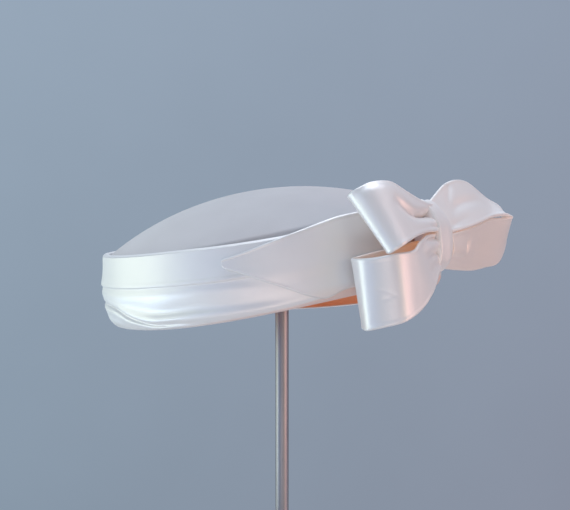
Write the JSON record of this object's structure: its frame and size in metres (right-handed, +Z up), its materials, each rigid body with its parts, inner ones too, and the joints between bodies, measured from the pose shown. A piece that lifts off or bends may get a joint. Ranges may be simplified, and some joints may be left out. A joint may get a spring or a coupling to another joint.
{
  "type": "pillbox hat with a satin bow, on a plain hat stand",
  "caption": "Oval pillbox hat with a low domed crown, a draped satin band, a pointed wrap strip and a looped ribbon bow at the back, on a plain round-footed stand.",
  "frame": {"origin": "middle of the stand's underside, on the surface that it stands on", "axes": "+Z up along the rod, -Y towards the hat's front, +Y towards the bow at its back, +X towards the wearer's left"},
  "size_m": [0.183, 0.2163, 0.3012],
  "materials": {
    "crepe": "matte ivory crepe",
    "satin": "ivory duchess satin with a soft sheen",
    "stand_steel": "satin steel",
    "stand_paint": "matte pale grey paint"
  },
  "bodies": {
    "root": {"crown": "crepe", "side_band": "satin", "wrap_strip": "satin", "bow_loop_upper": "satin", "bow_loop_lower": "satin", "bow_loop_right": "satin", "bow_knot": "satin", "stand_top": "stand_paint", "stand_rod": "stand_steel", "stand_base": "stand_paint"}
  },
  "joints": []
}
